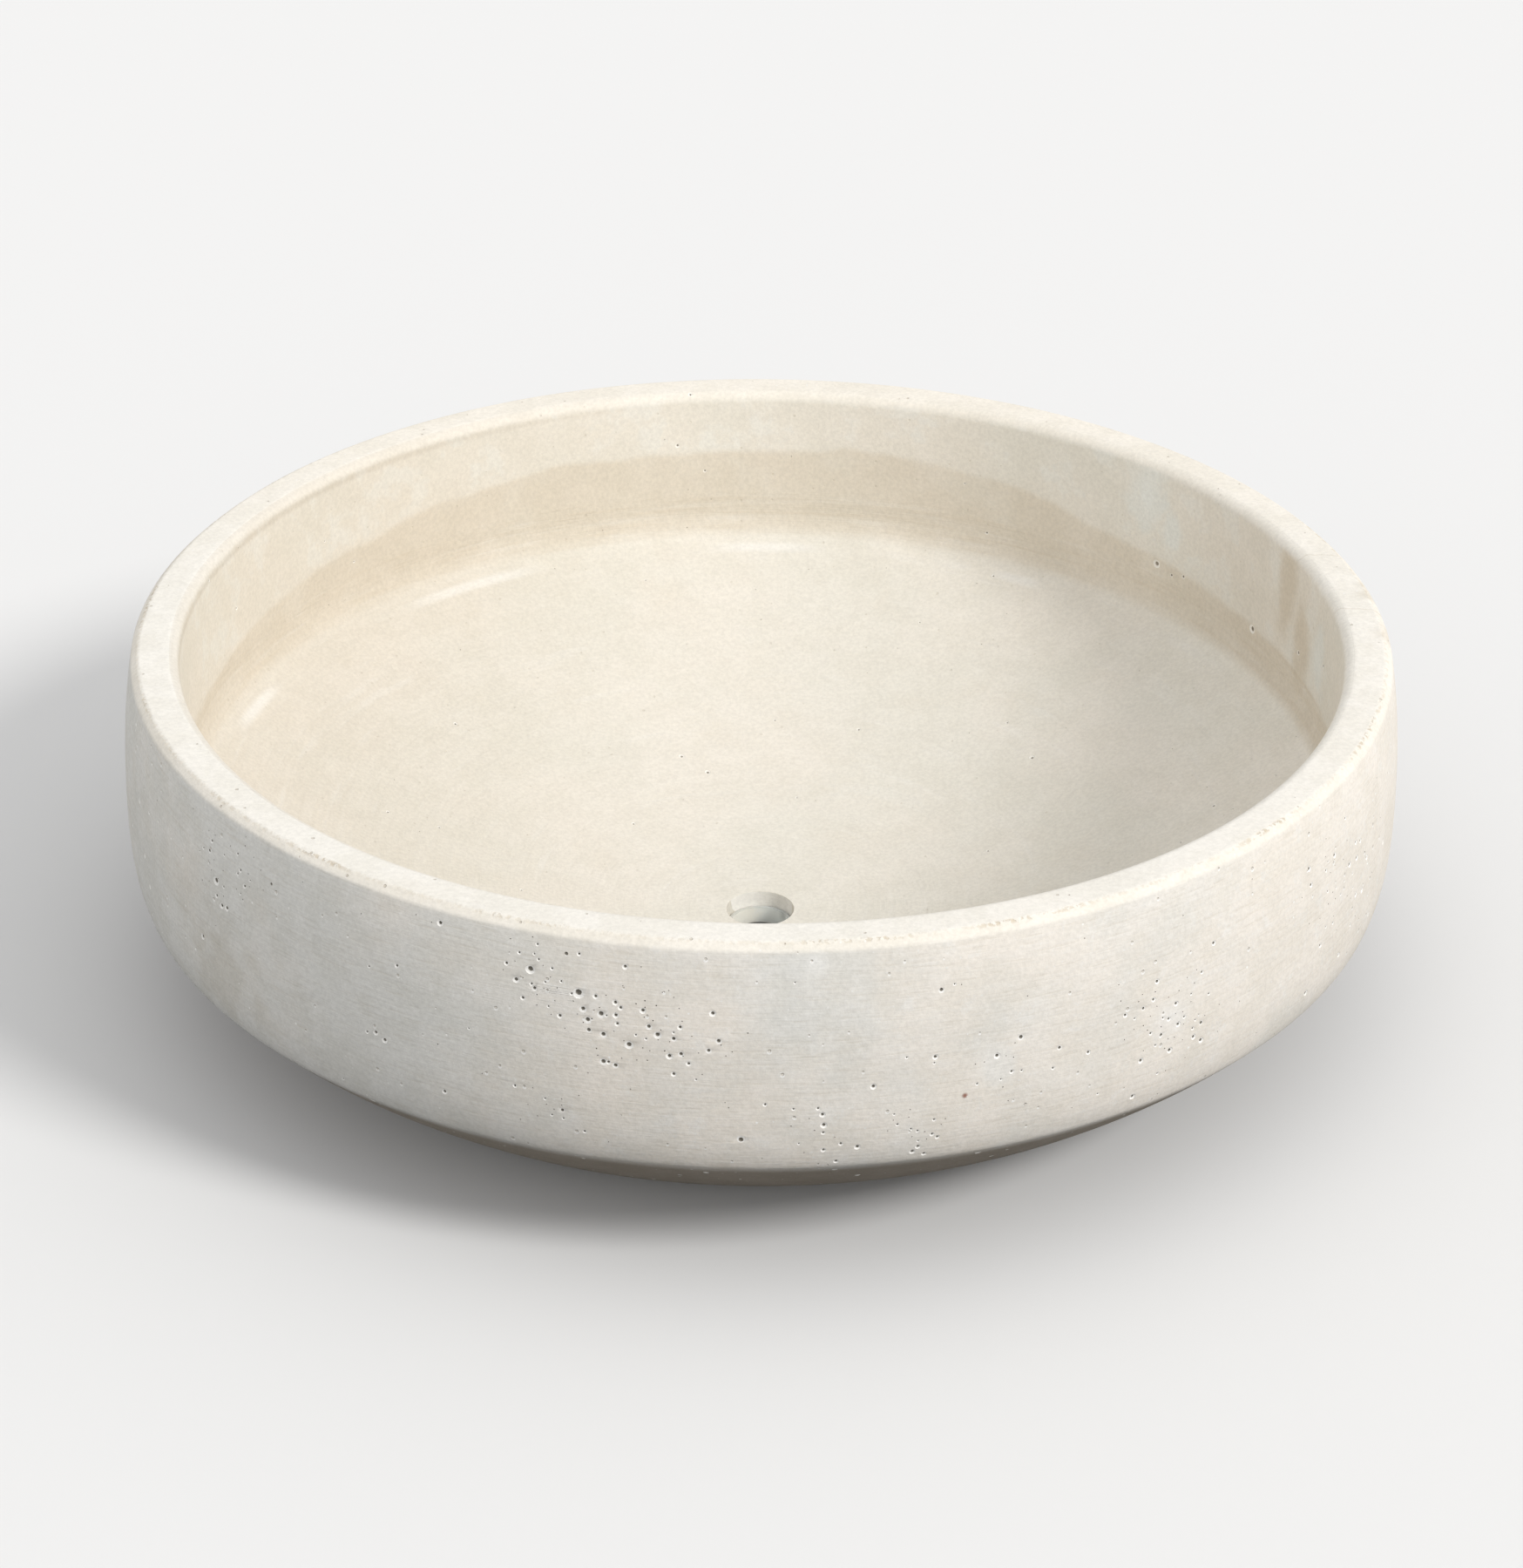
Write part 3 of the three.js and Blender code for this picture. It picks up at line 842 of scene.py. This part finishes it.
def plastic_material():
    material = bpy.data.materials.new("sleeve_plastic")
    material.use_nodes = True
    g = Graph(material.node_tree)
    place = g.add("ShaderNodeTexCoord", output="Object")
    x = g.add("ShaderNodeSeparateXYZ", None, {0: place})
    z = x.also("Z")

    film = g.noise(place, 0.006, 4.0, 0.6, (1.0, 2.0, 3.0))
    # Painted light and shade: the left side, facing the lamp, is ivory, and the right side cool white.
    lit_ivory_side = g.step(x * -1 + (film - 0.5) * 0.012, -0.004, 0.004)
    colour = g.blended(lit_ivory_side * 0.75, pipe_cool_white_shaded, pipe_ivory)
    # Painted shade: a dark spot on the far right of the bore, and darkening towards the bottom.
    shade_spot_distance = g.moved("DISTANCE", place, (0.0085, 0.0062, 0.0065), output="Value")
    painted_shade_spot = 1 - g.step(shade_spot_distance + (film - 0.5) * 0.004, 0.001, 0.0036)
    colour = g.blended(painted_shade_spot * 0.45, colour, pipe_grime_and_shade)
    shaded_low_down = 1 - g.step(z + (film - 0.5) * 0.006, 0.001, 0.005)
    colour = g.blended(shaded_low_down * 0.10, colour, pipe_grime_and_shade)
    sawn = g.step(z, sleeve_high.z - 0.0007, sleeve_high.z - 0.0003)
    colour = g.blended(sawn * 0.5, colour, pipe_grime_and_shade)
    scratches = g.noise(g.moved("MULTIPLY", place, (1.0, 1.0, 0.15)), 0.0009, 3.0, 0.6)
    colour = g.blended(g.step(scratches, 0.60, 0.75) * 0.2, colour, pipe_ivory)
    bump = g.add(
        "ShaderNodeBump", None,
        {"Strength": 0.6, "Distance": 1.0, "Height": film * 0.0003 + scratches * 0.00004}, "Normal",
    )
    sockets = {"Base Color": colour, "Roughness": 0.42 + 0.25 * film, "Normal": bump}
    shader = g.add("ShaderNodeBsdfPrincipled", None, sockets)
    g.add("ShaderNodeOutputMaterial", None, {"Surface": shader})
    return material


def drain_sleeve_pipe():
    g = Turning("drain sleeve")
    corners = [
        corner(sleeve_radius - sleeve_wall, sleeve_low.z, rounded=sleeve_edge_round),
        corner(sleeve_radius, sleeve_low.z, rounded=sleeve_edge_round),
        corner(sleeve_radius, sleeve_high.z, rounded=sleeve_edge_round),
        corner(sleeve_radius - sleeve_wall, sleeve_high.z, rounded=sleeve_edge_round),
    ]
    outline = outline_object("sleeve outline", outline_points(corners))
    loop = g.asked("Outline", "NodeSocketObject", outline)
    sides = g.asked("Sides", "NodeSocketInt", 96)
    saw_marks = g.asked("Saw Marks", "NodeSocketFloat", 0.0003)
    finish = g.asked("Plastic", "NodeSocketMaterial", plastic_material())

    # The pipe was cut with a hand saw, so its top dips unevenly, never above its full length
    body = g.turned(loop, sides)
    place = g.add("GeometryNodeInputPosition")
    z = g.add("ShaderNodeSeparateXYZ", None, {0: place}, "Z")
    dip = g.noise(place, 0.004, 2.0, 0.5) * saw_marks * (z > sleeve_high.z - 0.001) * -1
    offset = g.vector(0.0, 0.0, dip)
    body = g.add("GeometryNodeSetPosition", None, {"Geometry": body, "Offset": offset})
    g.finished(body, finish, sharpest_smooth_edge)
    piece = g.made("drain_sleeve_pipe")
    bpy.data.objects.remove(outline)
    return piece


sleeve = drain_sleeve_pipe()
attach(sleeve, "root")
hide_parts("drain_sleeve")

# ---------------------------------------------------------------------------------------------
# The studio: a plain pale floor, soft light from all round, and one large soft lamp at the right.
# ---------------------------------------------------------------------------------------------

floor_half = 20.0
floor_seen = (0.80, 0.80, 0.80, 1)
# What the ground throws back up at the bowl: painted dark close round it, as painted shade for the
# underside, and pale paving beyond
shaded_bounce_near = (0.016, 0.015, 0.014, 1)
bounce_beyond = (0.34, 0.335, 0.32, 1)
floor_mesh = bpy.data.meshes.new("studio_floor")
floor_mesh.from_pydata(
    [(-floor_half, -floor_half, 0), (floor_half, -floor_half, 0),
     (floor_half, floor_half, 0), (-floor_half, floor_half, 0)],
    [], [(0, 1, 2, 3)],
)
studio_floor = bpy.data.objects.new("studio_floor", floor_mesh)
bpy.context.scene.collection.objects.link(studio_floor)
floor_paint = bpy.data.materials.new("studio_floor")
floor_paint.use_nodes = True
g = Graph(floor_paint.node_tree)
ray = g.add("ShaderNodeLightPath", output="Is Camera Ray")
seen = ray.worked("MAXIMUM", ray, ray.also("Is Glossy Ray"))
seen = seen.worked("MAXIMUM", seen, ray.also("Is Transmission Ray"))
spot = g.add("ShaderNodeTexCoord", output="Object")
beyond = g.step(g.moved("LENGTH", spot, output="Value"), 0.30, 0.62)
bounce = g.blended(beyond, shaded_bounce_near, bounce_beyond)
paint = g.blended(seen, bounce, floor_seen)
shader = g.add("ShaderNodeBsdfDiffuse", None, {"Color": paint})
g.add("ShaderNodeOutputMaterial", None, {"Surface": shader})
floor_mesh.materials.append(floor_paint)

sky_low_strength = 1.07
sky_top_strength = 0.64
backdrop_strength = 0.92
world = bpy.data.worlds.new("studio")
bpy.context.scene.world = world
world.use_nodes = True
g = Graph(world.node_tree)
ray = g.add("ShaderNodeLightPath", output="Is Camera Ray")
seen = ray.worked("MAXIMUM", ray, ray.also("Is Glossy Ray"))
seen = seen.worked("MAXIMUM", seen, ray.also("Is Transmission Ray"))
upward = g.add("ShaderNodeSeparateXYZ", None, {0: g.add("ShaderNodeTexCoord", output="Generated")}, "Z")
strength = sky_low_strength + (sky_top_strength - sky_low_strength) * upward.at_least(0.0)
light = g.add("ShaderNodeBackground", None, {"Color": (1, 1, 1, 1), "Strength": strength})
view = g.add("ShaderNodeBackground", None, {"Color": (1, 1, 1, 1), "Strength": backdrop_strength})
surface = g.add("ShaderNodeMixShader", None, {0: seen, 1: light, 2: view})
g.add("ShaderNodeOutputWorld", None, {"Surface": surface})

lamp_height_angle = math.radians(38.5)
lamp_turn = math.radians(-32)  # from +X towards the camera
lamp = bpy.data.lights.new("soft_lamp", "SUN")
lamp.energy = 1.78
lamp.angle = math.radians(16)
lamp.color = (1.0, 0.985, 0.96)
soft_lamp = bpy.data.objects.new("soft_lamp", lamp)
bpy.context.scene.collection.objects.link(soft_lamp)
towards_lamp = Vector((
    math.cos(lamp_height_angle) * math.cos(lamp_turn),
    math.cos(lamp_height_angle) * math.sin(lamp_turn),
    math.sin(lamp_height_angle),
))
soft_lamp.rotation_euler = towards_lamp.to_track_quat("Z", "Y").to_euler()

bpy.context.scene.view_settings.view_transform = "Standard"

# ---------------------------------------------------------------------------------------------
# The camera: the photograph was taken from in front and above, with a long lens.
# ---------------------------------------------------------------------------------------------

lens = 101.0
sensor = 36.0
camera_distance = 1.7807
camera_elevation = math.radians(28.61)
camera_roll = math.radians(0.39)
look_at = Vector((0.00025, 0.0, height - 0.0721))

camera_data = bpy.data.cameras.new("camera")
camera_data.lens = lens
camera_data.sensor_width = sensor
camera = bpy.data.objects.new("camera", camera_data)
bpy.context.scene.collection.objects.link(camera)
back = Vector((0, -math.cos(camera_elevation), math.sin(camera_elevation)))
camera.location = look_at + back * camera_distance
level = back.to_track_quat("Z", "Y")
camera.rotation_euler = (level @ Quaternion((0, 0, 1), camera_roll)).to_euler()
bpy.context.scene.camera = camera
